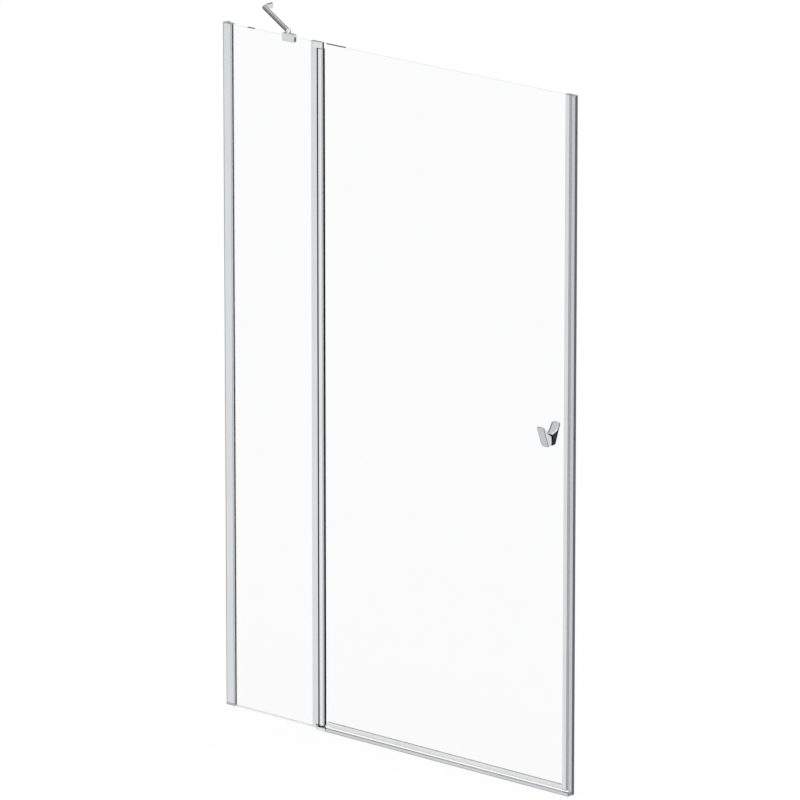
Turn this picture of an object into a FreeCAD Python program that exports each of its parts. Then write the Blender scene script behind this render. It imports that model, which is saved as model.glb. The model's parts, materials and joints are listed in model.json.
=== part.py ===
# Inline shower door: a fixed glass panel, a round pivoting stile that carries
# the door leaf, slim aluminium wall channels, a low threshold and a stay bar.
# Millimetres. X runs along the opening, Y from the bather's outside to inside,
# Z up. The origin is on the floor, mid opening, in the middle of the glass.
import FreeCAD
import Part
import math
import os

# Overall sizes
opening_width = 1200.0
frame_height = 1900.0
glass_t = 4.0
gasket_leg = 1.05
gasket_base = 1.2
cap_t = 1.6
overrun = 1.0
edge_tolerance = 0.01

# Extrusions shared by the uprights
profile_depth = 11.0
profile_wall = 1.3
inner_wall = 1.0
slide_gap = 0.15
wall_base_t = 1.6
corner_r = 1.0

# Left wall channel and the glazing profile that slides in it
left_channel_w = 27.0
side_reveal = 3.2
inner_back = 12.0
left_pocket = 11.0
shadow_groove_x = 2.4
shadow_groove_w = 1.2
shadow_groove_d = 0.7
left_foot_h = 7.0
foot_corner_r = 3.0
cap_plug_h = 9.0
cap_plug_t = 1.2
cap_plug_gap = 0.1
top_cap_past_sides = 1.3
top_cap_past_mouth = 2.0
boss_r = 5.0
boss_h = 3.5
boss_from_wall = 15.2
boss_edge_r = 0.8

# Fixings through the wall channels
wall_hole_r = 3.0
wall_hole_from_end = 100.0
wall_hole_mid = 980.0
adjust_from_wall = 15.5
adjust_height_shares = [0.16, 0.49, 0.82]
adjust_head_r = 3.4
adjust_head_h = 1.9
adjust_shank_r = 1.9
adjust_hole_gap = 0.1
adjust_tip_past = 0.5
cross_w = 0.9
cross_l = 3.6
cross_d = 1.0
cover_wall = 0.8
cover_gap = 0.35
cover_edge_r = 0.7

# Fixed glass and the strip that it stands on
fixed_glass_lift = 3.0
sill_strip_half = 2.6
glass_top_drop = 2.0
fixed_strip_start = 53.0
fixed_strip_length = 24.0

# Hinge post beside the fixed glass
post_from_wall = 306.5
post_w = 20.4
post_pocket = 10.0
post_web = 1.2
post_round_r = 1.5
post_cap_lip = 0.5
post_foot_low = 2.0
post_pad_t = 3.0
post_pad_inset = 0.5

# Round stile on the hinge axis
axis_from_wall = 338.2
stile_r = 9.0
stile_wall = 1.5
stile_web_at = 0.9
stile_web = 1.0
stile_low = 12.0
stile_top_clear = 0.3
gasket_proud = 0.8
plug_length = 20.0
fit_gap = 0.02
wiper_clear = 0.3
wiper_half = 1.3
wiper_tip_half = 0.4

# Pivots
pin_r = 3.0
pin_clear = 0.05
pin_in_block = 6.0
pin_in_bush = 14.0
bush_wall = 1.4
bush_length = 16.0
flange_r = 6.4
flange_t = 1.2
washer_r = 6.0
top_washer_t = 0.8
top_block_half = 6.3
top_block_h = 16.0
top_block_past_axis = 1.8
block_edge_r = 1.2
bottom_block_h = 8.5
bottom_boss_r = 8.0
shelf_front = 15.2
shelf_left = 12.7
shelf_right = 20.8
shelf_corner_r = 2.0
tongue_l = 18.0
tongue_gap = 0.2
block_screw_r = 2.0
block_screw_head_r = 3.8
block_screw_head_h = 2.2
block_screw_reach = 6.5
hex_r = 1.4
hex_d = 1.6

# Door leaf
door_glass_low = 17.0
notch_clear = 0.5
notch_extra = 0.6
closing_from_right = 33.0
closing_w = 13.5
closing_pocket = 10.2
closing_web = 1.2
closing_lip_t = 1.0
closing_lip_gap = 2.2
closing_low = 12.8
seal_half = 3.9
seal_w = 6.2
seal_neck_half = 2.1
seal_foot_half = 3.6
seal_foot_t = 0.9
seal_slack = 0.1
magnet_t = 3.0
magnet_half = 2.8
magnet_cover = 0.8
bottom_seal_top = 24.0
bottom_seal_leg = 1.4
bottom_seal_web = 1.2
fin_t = 0.8
fin_lean = 2.4
fin_clear = 0.9
bottom_seal_start = 15.0
fin_start = 23.0
top_strip_start = 19.0
top_strip_length = 64.0
top_strip_t = 1.7

# Right wall channel and the strike strip in it
right_channel_w = 11.5
stop_lip_extra = 6.0
strike_w = 7.5
strike_nose = 0.6
strike_nose_half = 3.4
closed_gap = 0.4
right_foot_low = 2.0
right_foot_h = 3.5

# Threshold
rail_front = 14.3
rail_h = 8.3
rail_wall = 1.3
rail_base_t = 1.3
rail_front_r = 0.8
rail_groove_low = 1.5
rail_groove_w = 0.9
rail_groove_d = 0.6
rail_joint = 0.8
rail_end_gap = 7.0
rail_cap_t = 1.5

# Stay bar and the clamp on the fixed glass
clamp_from_wall = 227.5
clamp_w = 40.0
clamp_depth = 14.8
clamp_drop = 14.0
clamp_cap_t = 6.4
clamp_pad_t = 0.8
clamp_r = 1.5
grub_r = 2.5
grub_spread = 10.0
grub_from_edge = 6.0
grub_sunk = 0.3
bar_from_wall = 226.0
bar_r = 6.5
bar_centre_above = 12.0
bar_bend_r = 7.5
bar_socket = 3.0
bar_reach = 156.5
bar_off_wall = 0.3
bar_tail = 4.5
tab_t = 3.2
tab_half = 8.0
tab_drop = 2.0
tab_corner_r = 5.5
tab_past_elbow = 4.0
tab_length = 36.0
tab_hole_r = 2.6
tab_hole_from_end = 13.0

# Pull handle: two solid halves that flare out from a foot, one each side
handle_from_right = 88.0
handle_w = 25.0
handle_low = 943.5
handle_h = 58.0
handle_pad_t = 1.3
handle_foot_t = 10.2
handle_foot_h = 27.5
handle_web_out = 14.2
handle_web_h = 37.0
handle_flare = 21.8
handle_lip_t = 5.0
handle_bend_r = 10.0
handle_corner_r = 5.5
handle_soft_r = 1.2
handle_pad_inset = 0.6
stud_r = 3.0
stud_above = 13.0
stud_bite = 8.0
sleeve_r = 5.5
sleeve_gap = 0.1

# Places that follow from the sizes above
left_wall_x = -opening_width / 2
right_wall_x = opening_width / 2
half_depth = profile_depth / 2
glass_half = glass_t / 2
pocket_half = glass_half + gasket_leg
profile_top = frame_height - cap_t
glass_top = frame_height - glass_top_drop
left_mouth_x = left_wall_x + left_channel_w + side_reveal
left_web_x = left_mouth_x - left_pocket
inner_half = half_depth - profile_wall - slide_gap
post_x = left_wall_x + post_from_wall
post_end_x = post_x + post_w
post_web_x = post_x + post_pocket
chamber_x = post_web_x + post_web
chamber_half = half_depth - profile_wall
post_seat = bottom_block_h + post_pad_t
axis_x = left_wall_x + axis_from_wall
top_block_low = frame_height - top_block_h
stile_high = top_block_low - top_washer_t - stile_top_clear
stile_slot_x = axis_x + stile_web_at + stile_web
plug_r = stile_r - stile_wall
low_plug_end = stile_low + plug_length
high_plug_end = stile_high - flange_t
high_plug_start = high_plug_end - plug_length
closing_x = right_wall_x - closing_from_right
closing_web_x = closing_x + closing_pocket
closing_end_x = closing_x + closing_w
channel_right_x = right_wall_x - right_channel_w
shelf_x = axis_x - shelf_left
shelf_end_x = axis_x + shelf_right
rail_end_x = right_wall_x - rail_end_gap
clamp_x = left_wall_x + clamp_from_wall
clamp_top = glass_top + clamp_pad_t + clamp_cap_t
bar_x = left_wall_x + bar_from_wall
bar_z = glass_top + bar_centre_above
tab_z = bar_z - tab_drop
tab_start_y = bar_reach + tab_past_elbow
tab_end_y = tab_start_y + tab_length
handle_x = right_wall_x - handle_from_right
stud_z = handle_low + stud_above
wall_hole_heights = [wall_hole_from_end, wall_hole_mid, frame_height - wall_hole_from_end]
adjust_heights = [share * frame_height for share in adjust_height_shares]
handle_back = glass_half + handle_pad_t
strike_nose_x = closing_end_x + seal_w + closed_gap
leaf_start_x = axis_x + stile_r + notch_clear


def point(x, y, z=0.0):
    return FreeCAD.Vector(x, y, z)


X_AXIS = point(1, 0, 0)
Y_AXIS = point(0, 1, 0)
Z_AXIS = point(0, 0, 1)


def outline(points):
    """A flat face inside a closed outline of (x, y) points."""
    corners = [point(x, y) for x, y in points]
    return Part.Face(Part.makePolygon(corners + [corners[0]]))


def prism(points, low, high):
    """An outline in plan, raised from one height to another."""
    face = outline(points)
    face.translate(point(0, 0, low))
    return face.extrude(point(0, 0, high - low))


def side_prism(points, start_x, end_x):
    """An outline of (y, z) points, drawn out along X."""
    corners = [point(start_x, y, z) for y, z in points]
    face = Part.Face(Part.makePolygon(corners + [corners[0]]))
    return face.extrude(point(end_x - start_x, 0, 0))


def block(x0, x1, y0, y1, z0, z1):
    return Part.makeBox(x1 - x0, y1 - y0, z1 - z0, point(x0, y0, z0))


def upright_rod(radius, x, y, low, high):
    return Part.makeCylinder(radius, high - low, point(x, y, low), Z_AXIS)


def rod_in_y(radius, x, y0, y1, z):
    return Part.makeCylinder(radius, y1 - y0, point(x, y0, z), Y_AXIS)


def rod_in_x(radius, x0, x1, y, z):
    return Part.makeCylinder(radius, x1 - x0, point(x0, y, z), X_AXIS)


def soften(shape, radius, wanted):
    """Round the edges that the test picks."""
    edges = [edge for edge in shape.Edges if wanted(edge)]
    return shape.makeFillet(radius, edges) if edges else shape


def upright_at(x, y):
    """Picks the vertical edge that stands at one place in plan."""
    def wanted(edge):
        box = edge.BoundBox
        thin = max(box.XLength, box.YLength) < edge_tolerance
        return thin and max(abs(box.XMin - x), abs(box.YMin - y)) < edge_tolerance
    return wanted


def any_of(*tests):
    return lambda edge: any(test(edge) for test in tests)


def group(shapes):
    return Part.makeCompound(shapes)


def export(name, shape):
    cleaned = shape.removeSplitter()
    cleaned.exportStep("parts/" + name + ".step")
    solids = len(cleaned.Solids)
    print(name, "solids", solids, "volume", round(cleaned.Volume), "valid", cleaned.isValid())


# Glazing gasket: a U that lines a pocket, its base at the pocket's web
def gasket(web_x, mouth_x, low, high):
    inward = 1 if mouth_x > web_x else -1
    lined = web_x + inward * gasket_base
    points = [
        (web_x, -pocket_half), (mouth_x, -pocket_half), (mouth_x, -glass_half),
        (lined, -glass_half), (lined, glass_half), (mouth_x, glass_half),
        (mouth_x, pocket_half), (web_x, pocket_half),
    ]
    return prism(points, low, high)


# Left side: channel on the wall, glazing profile inside it
def wall_channel_left():
    end_x = left_wall_x + left_channel_w
    body = block(left_wall_x, end_x, -half_depth, half_depth, left_foot_h, profile_top)
    body = soften(body, corner_r, any_of(
        upright_at(left_wall_x, -half_depth), upright_at(left_wall_x, half_depth)))
    hollow_half = half_depth - profile_wall
    body = body.cut(block(left_wall_x + wall_base_t, end_x + overrun, -hollow_half, hollow_half,
                          left_foot_h - overrun, profile_top + overrun))
    groove_x = left_wall_x + shadow_groove_x
    for side in (-1, 1):
        face_y = side * half_depth
        floor_y = side * (half_depth - shadow_groove_d)
        body = body.cut(block(groove_x, groove_x + shadow_groove_w, min(face_y, floor_y),
                              max(face_y, floor_y), left_foot_h - overrun, profile_top + overrun))
    for z in wall_hole_heights:
        body = body.cut(rod_in_x(wall_hole_r, left_wall_x - overrun,
                                 left_wall_x + wall_base_t + overrun, 0, z))
    for z in adjust_heights:
        body = body.cut(rod_in_y(adjust_shank_r + adjust_hole_gap, left_wall_x + adjust_from_wall,
                                 0, half_depth + overrun, z))
    return body


def glazing_profile_left():
    body = block(left_wall_x + inner_back, left_mouth_x, -inner_half, inner_half,
                 left_foot_h, profile_top)
    for x0, x1, half in (
            (left_wall_x + inner_back - overrun, left_web_x - inner_wall, inner_half - inner_wall),
            (left_web_x, left_mouth_x + overrun, pocket_half)):
        body = body.cut(block(x0, x1, -half, half, left_foot_h - overrun, profile_top + overrun))
    for z in adjust_heights:
        body = body.cut(rod_in_y(adjust_shank_r, left_wall_x + adjust_from_wall,
                                 0, half_depth + overrun, z))
    return body


# Small parts that hold the glazing profile in the channel, on the inside face
def cross_recess(x, y_face, z):
    slots = block(x - cross_l / 2, x + cross_l / 2, y_face - cross_d, y_face + overrun,
                  z - cross_w / 2, z + cross_w / 2)
    return slots.fuse(block(x - cross_w / 2, x + cross_w / 2, y_face - cross_d, y_face + overrun,
                            z - cross_l / 2, z + cross_l / 2))


def adjusting_screw(z):
    x = left_wall_x + adjust_from_wall
    tip_y = inner_half - inner_wall - adjust_tip_past
    top_y = half_depth + adjust_head_h
    head = rod_in_y(adjust_head_r, x, half_depth, top_y, z)
    head = soften(head, cross_w, lambda edge: edge.BoundBox.YMin > top_y - cross_w / 2)
    shank = rod_in_y(adjust_shank_r, x, tip_y, half_depth, z)
    return head.fuse(shank).cut(cross_recess(x, top_y, z))


def screw_cover(z):
    x = left_wall_x + adjust_from_wall
    inner_r = adjust_head_r + cover_gap
    inner_y = half_depth + adjust_head_h + cover_gap
    outer_y = inner_y + cover_wall
    shell = rod_in_y(inner_r + cover_wall, x, half_depth, outer_y, z)
    shell = soften(shell, cover_edge_r, lambda edge: edge.BoundBox.YMin > outer_y - cover_edge_r / 2)
    return shell.cut(rod_in_y(inner_r, x, half_depth - overrun, inner_y, z))


def plug_in(x0, x1, half, low, high):
    """A square ring that goes down inside a hollow profile."""
    ring = block(x0, x1, -half, half, low, high)
    return ring.cut(block(x0 + cap_plug_t, x1 - cap_plug_t, -half + cap_plug_t, half - cap_plug_t,
                          low - overrun, high + overrun))


def top_cap_left():
    low = profile_top
    half = half_depth + top_cap_past_sides
    plate = block(left_wall_x, left_mouth_x + top_cap_past_mouth, -half, half, low, frame_height)
    plate = soften(plate, corner_r, lambda edge: edge.BoundBox.ZLength > cap_t / 2)
    boss = upright_rod(boss_r, left_wall_x + boss_from_wall, 0, low, frame_height + boss_h)
    boss = soften(boss, boss_edge_r,
                  lambda edge: edge.BoundBox.ZMin > frame_height + boss_h - boss_edge_r / 2)
    plug = plug_in(left_wall_x + wall_base_t + cap_plug_gap, left_wall_x + inner_back - cap_plug_gap,
                   half_depth - profile_wall - cap_plug_gap, low - cap_plug_h, low)
    return plate.fuse(boss).fuse(plug)


def bottom_cap_left():
    foot = block(left_wall_x, left_mouth_x, -half_depth, half_depth, 0, left_foot_h)
    foot = soften(foot, foot_corner_r, any_of(
        upright_at(left_mouth_x, -half_depth), upright_at(left_mouth_x, half_depth)))
    foot = soften(foot, corner_r, any_of(
        upright_at(left_wall_x, -half_depth), upright_at(left_wall_x, half_depth)))
    slot_half = glass_half + slide_gap
    foot = foot.cut(block(left_web_x, left_mouth_x + overrun, -slot_half, slot_half,
                          -overrun, left_foot_h + overrun))
    plug = plug_in(left_wall_x + wall_base_t + cap_plug_gap, left_wall_x + inner_back - cap_plug_gap,
                   half_depth - profile_wall - cap_plug_gap, left_foot_h, left_foot_h + cap_plug_h)
    return foot.fuse(plug)


# Fixed glass from the left pocket to the post
def fixed_glass():
    pane = block(left_web_x + gasket_base, post_web_x - gasket_base, -glass_half, glass_half,
                 fixed_glass_lift, glass_top)
    return pane


def top_edge_strip(start_x, length):
    """A short dark strip along the top edge of a pane."""
    return block(start_x, start_x + length, -glass_half, glass_half, glass_top, glass_top + top_strip_t)


def fixed_glass_strip():
    return top_edge_strip(left_mouth_x + fixed_strip_start, fixed_strip_length)


def sill_strip():
    return block(left_mouth_x + slide_gap, post_web_x, -sill_strip_half, sill_strip_half,
                 0, fixed_glass_lift)


# Post: a glazing pocket on the left and a closed chamber on the right, cut short at
# both ends where the pivot blocks go
def hinge_post():
    low = post_foot_low
    body = block(post_x, post_end_x, -half_depth, half_depth, low, profile_top)
    body = soften(body, post_round_r, any_of(
        upright_at(post_end_x, -half_depth), upright_at(post_end_x, half_depth)))
    body = body.cut(block(post_x - overrun, post_web_x, -pocket_half, pocket_half,
                          low - overrun, profile_top + overrun))
    body = body.cut(block(chamber_x, post_end_x - profile_wall, -chamber_half, chamber_half,
                          low - overrun, profile_top + overrun))
    for start, end in ((low - overrun, post_seat), (top_block_low, profile_top + overrun)):
        body = body.cut(block(chamber_x, post_end_x + overrun, -half_depth - overrun,
                              half_depth + overrun, start, end))
    for z in block_screw_heights():
        body = body.cut(rod_in_y(block_screw_r + adjust_hole_gap, block_screw_x(), 0,
                                 half_depth + overrun, z))
    return body


def post_pad():
    """The chamber stands on this pad on the lower block; the block's tongue goes up through it."""
    half = half_depth - post_pad_inset
    pad = block(chamber_x, post_end_x, -half, half, bottom_block_h, post_seat)
    return pad.cut(tongue(bottom_block_h, post_seat))


def post_top_cap():
    plate = block(post_x, chamber_x - slide_gap, -half_depth, half_depth, profile_top, frame_height)
    return soften(plate, post_cap_lip,
                  lambda edge: edge.BoundBox.ZMin > frame_height - cap_t / 4)


def post_wiper():
    """A soft fin on the post that closes the gap beside the round stile."""
    tip_x = axis_x - stile_r - wiper_clear
    points = [
        (post_end_x, -wiper_half), (tip_x, -wiper_tip_half),
        (tip_x, wiper_tip_half), (post_end_x, wiper_half),
    ]
    return prism(points, stile_low, stile_high)


# Pivot blocks: each has a tongue in the post's chamber, held by a screw
def block_screw_x():
    return (chamber_x + post_end_x - profile_wall) / 2


def block_screw_heights():
    return [bottom_block_h + tongue_l / 2, top_block_low - tongue_l / 2]


def tongue(low, high):
    return block(chamber_x + tongue_gap, post_end_x - profile_wall - tongue_gap,
                 -chamber_half + tongue_gap, chamber_half - tongue_gap, low, high)


def screw_way(z):
    return rod_in_y(block_screw_r, block_screw_x(), half_depth - block_screw_reach,
                    half_depth + overrun, z)


def top_pivot_block():
    low = top_block_low
    round_x = axis_x + top_block_past_axis
    body = block(chamber_x, round_x, -top_block_half, top_block_half, low, frame_height)
    body = body.fuse(upright_rod(top_block_half, round_x, 0, low, frame_height)).removeSplitter()
    body = soften(body, block_edge_r, lambda edge: edge.BoundBox.ZMin > frame_height - block_edge_r)
    body = body.fuse(tongue(low - tongue_l, low))
    body = body.cut(upright_rod(pin_r, axis_x, 0, low - overrun, low + pin_in_block))
    return body.cut(screw_way(block_screw_heights()[1]))


def bottom_pivot_block():
    """A foot under post and stile, with a shelf in front that the threshold runs up to."""
    high = bottom_block_h
    shelf = block(shelf_x, shelf_end_x, -shelf_front, -half_depth, 0, high)
    shelf = soften(shelf, shelf_corner_r, upright_at(shelf_x, -shelf_front))
    shelf = soften(shelf, block_edge_r, lambda edge: (
        edge.BoundBox.ZMin > high - block_edge_r / 2
        and edge.BoundBox.YMax < -shelf_front + edge_tolerance))
    body = block(chamber_x, axis_x, -half_depth, half_depth, 0, high)
    body = body.fuse(upright_rod(bottom_boss_r, axis_x, 0, 0, high)).fuse(shelf).removeSplitter()
    body = body.fuse(tongue(high, high + tongue_l))
    body = body.cut(upright_rod(pin_r, axis_x, 0, high - pin_in_block, high + overrun))
    return body.cut(screw_way(block_screw_heights()[0]))


def block_screw(z):
    x = block_screw_x()
    top_y = half_depth + block_screw_head_h
    head = rod_in_y(block_screw_head_r, x, half_depth, top_y, z)
    head = soften(head, cross_w, lambda edge: edge.BoundBox.YMin > top_y - cross_w / 2)
    shank = rod_in_y(block_screw_r, x, half_depth - block_screw_reach, half_depth, z)
    return head.fuse(shank).cut(cross_recess(x, top_y, z))


def top_pivot_pin():
    return upright_rod(pin_r, axis_x, 0, stile_high - pin_in_bush, top_block_low + pin_in_block)


def bottom_pivot_pin():
    return upright_rod(pin_r, axis_x, 0, bottom_block_h - pin_in_block, stile_low + pin_in_bush)


def washer(low, high):
    return upright_rod(washer_r, axis_x, 0, low, high).cut(
        upright_rod(pin_r, axis_x, 0, low - overrun, high + overrun))


def pivot_washers():
    """The low one carries the flange of the bottom bush; the high one keeps the tube off the block."""
    low_one = washer(bottom_block_h, stile_low - flange_t)
    high_one = washer(top_block_low - top_washer_t, top_block_low)
    return group([low_one, high_one])


# Stile: a round tube on the axis with a slot for the glass
def pivot_stile():
    body = upright_rod(stile_r, axis_x, 0, stile_low, stile_high)
    chamber = upright_rod(plug_r, axis_x, 0, stile_low - overrun, stile_high + overrun)
    chamber = chamber.common(block(axis_x - stile_r, axis_x + stile_web_at, -stile_r, stile_r,
                                   stile_low - overrun, stile_high + overrun))
    body = body.cut(chamber)
    body = body.cut(block(stile_slot_x, axis_x + stile_r + overrun, -pocket_half, pocket_half,
                          stile_low - overrun, stile_high + overrun))
    for low, high in ((stile_low - overrun, low_plug_end), (high_plug_start, stile_high + overrun)):
        body = body.cut(upright_rod(plug_r, axis_x, 0, low, high))
    return body


def stile_gasket():
    """A U round the glass, its lips a little proud of the tube.

    Beside the end plugs, where the glass stops short, it fills the slot.
    """
    mouth_x = axis_x + stile_r
    lip_x = mouth_x + gasket_proud
    body = gasket(stile_slot_x, lip_x, low_plug_end, high_plug_start)
    for low, high in ((stile_low, low_plug_end), (high_plug_start, stile_high)):
        infill = block(axis_x, mouth_x, -pocket_half, pocket_half, low, high)
        infill = infill.fuse(gasket(stile_slot_x, lip_x, low, high))
        body = body.fuse(infill.cut(upright_rod(plug_r, axis_x, 0, low - overrun, high + overrun)))
    return body


def bush_r():
    return pin_r + pin_clear + bush_wall


def end_plug(low):
    body = upright_rod(plug_r - fit_gap, axis_x, 0, low, low + plug_length)
    return body.cut(upright_rod(bush_r() + fit_gap, axis_x, 0, low - overrun,
                                low + plug_length + overrun))


def bottom_bush():
    body = upright_rod(bush_r(), axis_x, 0, stile_low, stile_low + bush_length)
    body = body.fuse(upright_rod(flange_r, axis_x, 0, stile_low - flange_t, stile_low))
    return body.cut(upright_rod(pin_r + pin_clear, axis_x, 0, stile_low - flange_t - overrun,
                                stile_low + bush_length + overrun))


def top_bush():
    """Its flange is sunk in the end of the tube, on top of the plug."""
    low = high_plug_end - bush_length
    body = upright_rod(bush_r(), axis_x, 0, low, high_plug_end)
    body = body.fuse(upright_rod(flange_r, axis_x, 0, high_plug_end, stile_high))
    return body.cut(upright_rod(pin_r + pin_clear, axis_x, 0, low - overrun, stile_high + overrun))


# Door leaf
def door_glass():
    left_x = stile_slot_x + gasket_base
    right_x = closing_web_x - gasket_base
    pane = block(left_x, right_x, -glass_half, glass_half, door_glass_low, glass_top)
    low_notch = low_plug_end + notch_extra
    high_notch = high_plug_start - notch_extra
    for low, high in ((door_glass_low - overrun, low_notch), (high_notch, glass_top + overrun)):
        pane = pane.cut(block(left_x - overrun, leaf_start_x, -glass_t, glass_t, low, high))
    return pane.cut(rod_in_y(sleeve_r + sleeve_gap, handle_x, -glass_t, glass_t, stud_z))


def closing_profile():
    low = closing_low
    body = block(closing_x, closing_end_x, -half_depth, half_depth, low, profile_top)
    body = soften(body, corner_r, any_of(
        upright_at(closing_x, -half_depth), upright_at(closing_x, half_depth),
        upright_at(closing_end_x, -half_depth), upright_at(closing_end_x, half_depth)))
    body = body.cut(block(closing_x - overrun, closing_web_x, -pocket_half, pocket_half,
                          low - overrun, profile_top + overrun))
    slot_x = closing_web_x + closing_web
    slot_half = half_depth - profile_wall
    body = body.cut(block(slot_x, closing_end_x - closing_lip_t, -slot_half, slot_half,
                          low - overrun, profile_top + overrun))
    return body.cut(block(slot_x, closing_end_x + overrun, -closing_lip_gap, closing_lip_gap,
                          low - overrun, profile_top + overrun))


def closing_caps():
    plates = []
    for low in (closing_low - cap_t, profile_top):
        plate = block(closing_x, closing_end_x, -half_depth, half_depth, low, low + cap_t)
        plates.append(soften(plate, corner_r, lambda edge: edge.BoundBox.ZLength > cap_t / 2))
    return group(plates)


def magnet_seal():
    """Soft strip on the leaf's free edge, its foot held in the closing profile."""
    foot_x = closing_web_x + closing_web + seal_slack
    nose_x = closing_end_x + seal_w
    points = [
        (foot_x, -seal_foot_half), (foot_x + seal_foot_t, -seal_foot_half),
        (foot_x + seal_foot_t, -seal_neck_half), (closing_end_x, -seal_neck_half),
        (closing_end_x, -seal_half), (nose_x, -seal_half),
        (nose_x, seal_half), (closing_end_x, seal_half),
        (closing_end_x, seal_neck_half), (foot_x + seal_foot_t, seal_neck_half),
        (foot_x + seal_foot_t, seal_foot_half), (foot_x, seal_foot_half),
    ]
    body = prism(points, closing_low, profile_top)
    body = soften(body, corner_r, any_of(upright_at(nose_x, -seal_half), upright_at(nose_x, seal_half)))
    return body.cut(door_magnet())


def door_magnet():
    right_x = closing_end_x + seal_w - magnet_cover
    return block(right_x - magnet_t, right_x, -magnet_half, magnet_half, closing_low, profile_top)


def door_bottom_seal():
    """An H that grips the glass, with a thin fin down to the threshold."""
    outer = glass_half + bottom_seal_leg
    web_low = door_glass_low - bottom_seal_web
    fin_low = max(rail_h, bottom_block_h) + fin_clear
    half_fin = fin_t / 2
    points = [
        (-outer, closing_low), (-glass_half, closing_low), (-glass_half, web_low),
        (-half_fin, web_low), (fin_lean - half_fin, fin_low), (fin_lean + half_fin, fin_low),
        (half_fin, web_low), (glass_half, web_low), (glass_half, closing_low),
        (outer, closing_low), (outer, bottom_seal_top), (glass_half, bottom_seal_top),
        (glass_half, door_glass_low), (-glass_half, door_glass_low),
        (-glass_half, bottom_seal_top), (-outer, bottom_seal_top),
    ]
    start_x = axis_x + bottom_seal_start
    body = side_prism(points, start_x, closing_x - seal_slack)
    return body.cut(block(start_x - overrun, axis_x + fin_start, -outer, outer,
                          0, closing_low))


def glass_top_strip():
    return top_edge_strip(axis_x + top_strip_start, top_strip_length)


# Right side: channel with a longer inner lip that the leaf closes against
def wall_channel_right():
    low = right_foot_h
    lip_x = channel_right_x - stop_lip_extra
    hollow_half = half_depth - profile_wall
    body = block(channel_right_x, right_wall_x, -half_depth, half_depth, low, profile_top)
    body = body.fuse(block(lip_x, channel_right_x, hollow_half, half_depth,
                           closing_low, profile_top))
    body = body.removeSplitter()
    body = soften(body, corner_r, any_of(
        upright_at(channel_right_x, -half_depth), upright_at(right_wall_x, -half_depth),
        upright_at(right_wall_x, half_depth)))
    body = body.cut(block(channel_right_x - overrun, right_wall_x - wall_base_t, -hollow_half,
                          hollow_half, low - overrun, profile_top + overrun))
    for z in wall_hole_heights:
        body = body.cut(rod_in_x(wall_hole_r, right_wall_x - wall_base_t - overrun,
                                 right_wall_x + overrun, 0, z))
    return body


def strike_seal():
    front_x = strike_nose_x + strike_nose
    back_x = front_x + strike_w
    half = half_depth - profile_wall
    points = [
        (strike_nose_x, -strike_nose_half), (front_x, -half), (back_x, -half),
        (back_x, half), (front_x, half), (strike_nose_x, strike_nose_half),
    ]
    return prism(points, closing_low, profile_top).cut(strike_magnet())


def strike_magnet():
    left_x = strike_nose_x + magnet_cover
    return block(left_x, left_x + magnet_t, -magnet_half, magnet_half, closing_low, profile_top)


def top_cap_right():
    plate = block(channel_right_x, right_wall_x, -half_depth, half_depth, profile_top, frame_height)
    lip = block(channel_right_x - stop_lip_extra, channel_right_x, half_depth - profile_wall,
                half_depth, profile_top, frame_height)
    body = plate.fuse(lip).removeSplitter()
    return soften(body, corner_r, any_of(
        upright_at(channel_right_x, -half_depth), upright_at(right_wall_x, -half_depth)))


def bottom_cap_right():
    return block(channel_right_x, right_wall_x, -half_depth, half_depth,
                 right_foot_low, right_foot_h)


# Threshold: a hollow bar in front of the leaf, with a shadow groove low on its front and
# a thin base under the leaf that is bedded on the floor
def rail_bar(start_x, end_x):
    bar = block(start_x, end_x, -rail_front, -half_depth, 0, rail_h)
    return soften(bar, rail_front_r, lambda edge: (
        edge.BoundBox.YMax < -rail_front + edge_tolerance
        and edge.BoundBox.ZMin > rail_h - edge_tolerance))


def threshold_rail():
    body = rail_bar(shelf_end_x + rail_joint, rail_end_x)
    base = block(shelf_end_x, rail_end_x, -half_depth, half_depth, 0, rail_base_t)
    body = body.fuse(base).removeSplitter()
    body = body.cut(block(shelf_end_x - overrun, rail_end_x + overrun, -rail_front + rail_wall,
                          -half_depth - rail_wall, rail_wall, rail_h - rail_wall))
    return body.cut(block(shelf_end_x - overrun, rail_end_x + overrun, -rail_front - overrun,
                          -rail_front + rail_groove_d, rail_groove_low, rail_groove_low + rail_groove_w))


def rail_end_cap():
    return rail_bar(rail_end_x, rail_end_x + rail_cap_t)


# Stay bar: up out of the clamp, across to the side wall, flattened into a tab
def clamp_low():
    return glass_top - clamp_drop


def clamp_body():
    half_w = clamp_w / 2
    half_d = clamp_depth / 2
    low = clamp_low()
    body = block(clamp_x - half_w, clamp_x + half_w, -half_d, half_d, low, clamp_top)
    body = soften(body, clamp_r, lambda edge: (
        edge.BoundBox.ZMin > clamp_top - clamp_r / 2 or edge.BoundBox.ZLength > clamp_drop / 2))
    slot = glass_half + clamp_pad_t
    body = body.cut(block(clamp_x - half_w - overrun, clamp_x + half_w + overrun, -slot, slot,
                          low - overrun, glass_top + clamp_pad_t))
    body = body.cut(bar_run())
    for side in (-1, 1):
        body = body.cut(rod_in_y(grub_r, clamp_x + side * grub_spread, slot - overrun / 2,
                                 half_d + overrun, low + grub_from_edge))
    return body


def clamp_lining():
    half_w = clamp_w / 2
    outer = glass_half + clamp_pad_t
    low = clamp_low()
    body = block(clamp_x - half_w, clamp_x + half_w, -outer, outer, low, glass_top + clamp_pad_t)
    return body.cut(block(clamp_x - half_w - overrun, clamp_x + half_w + overrun, -glass_half,
                          glass_half, low - overrun, glass_top))


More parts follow.
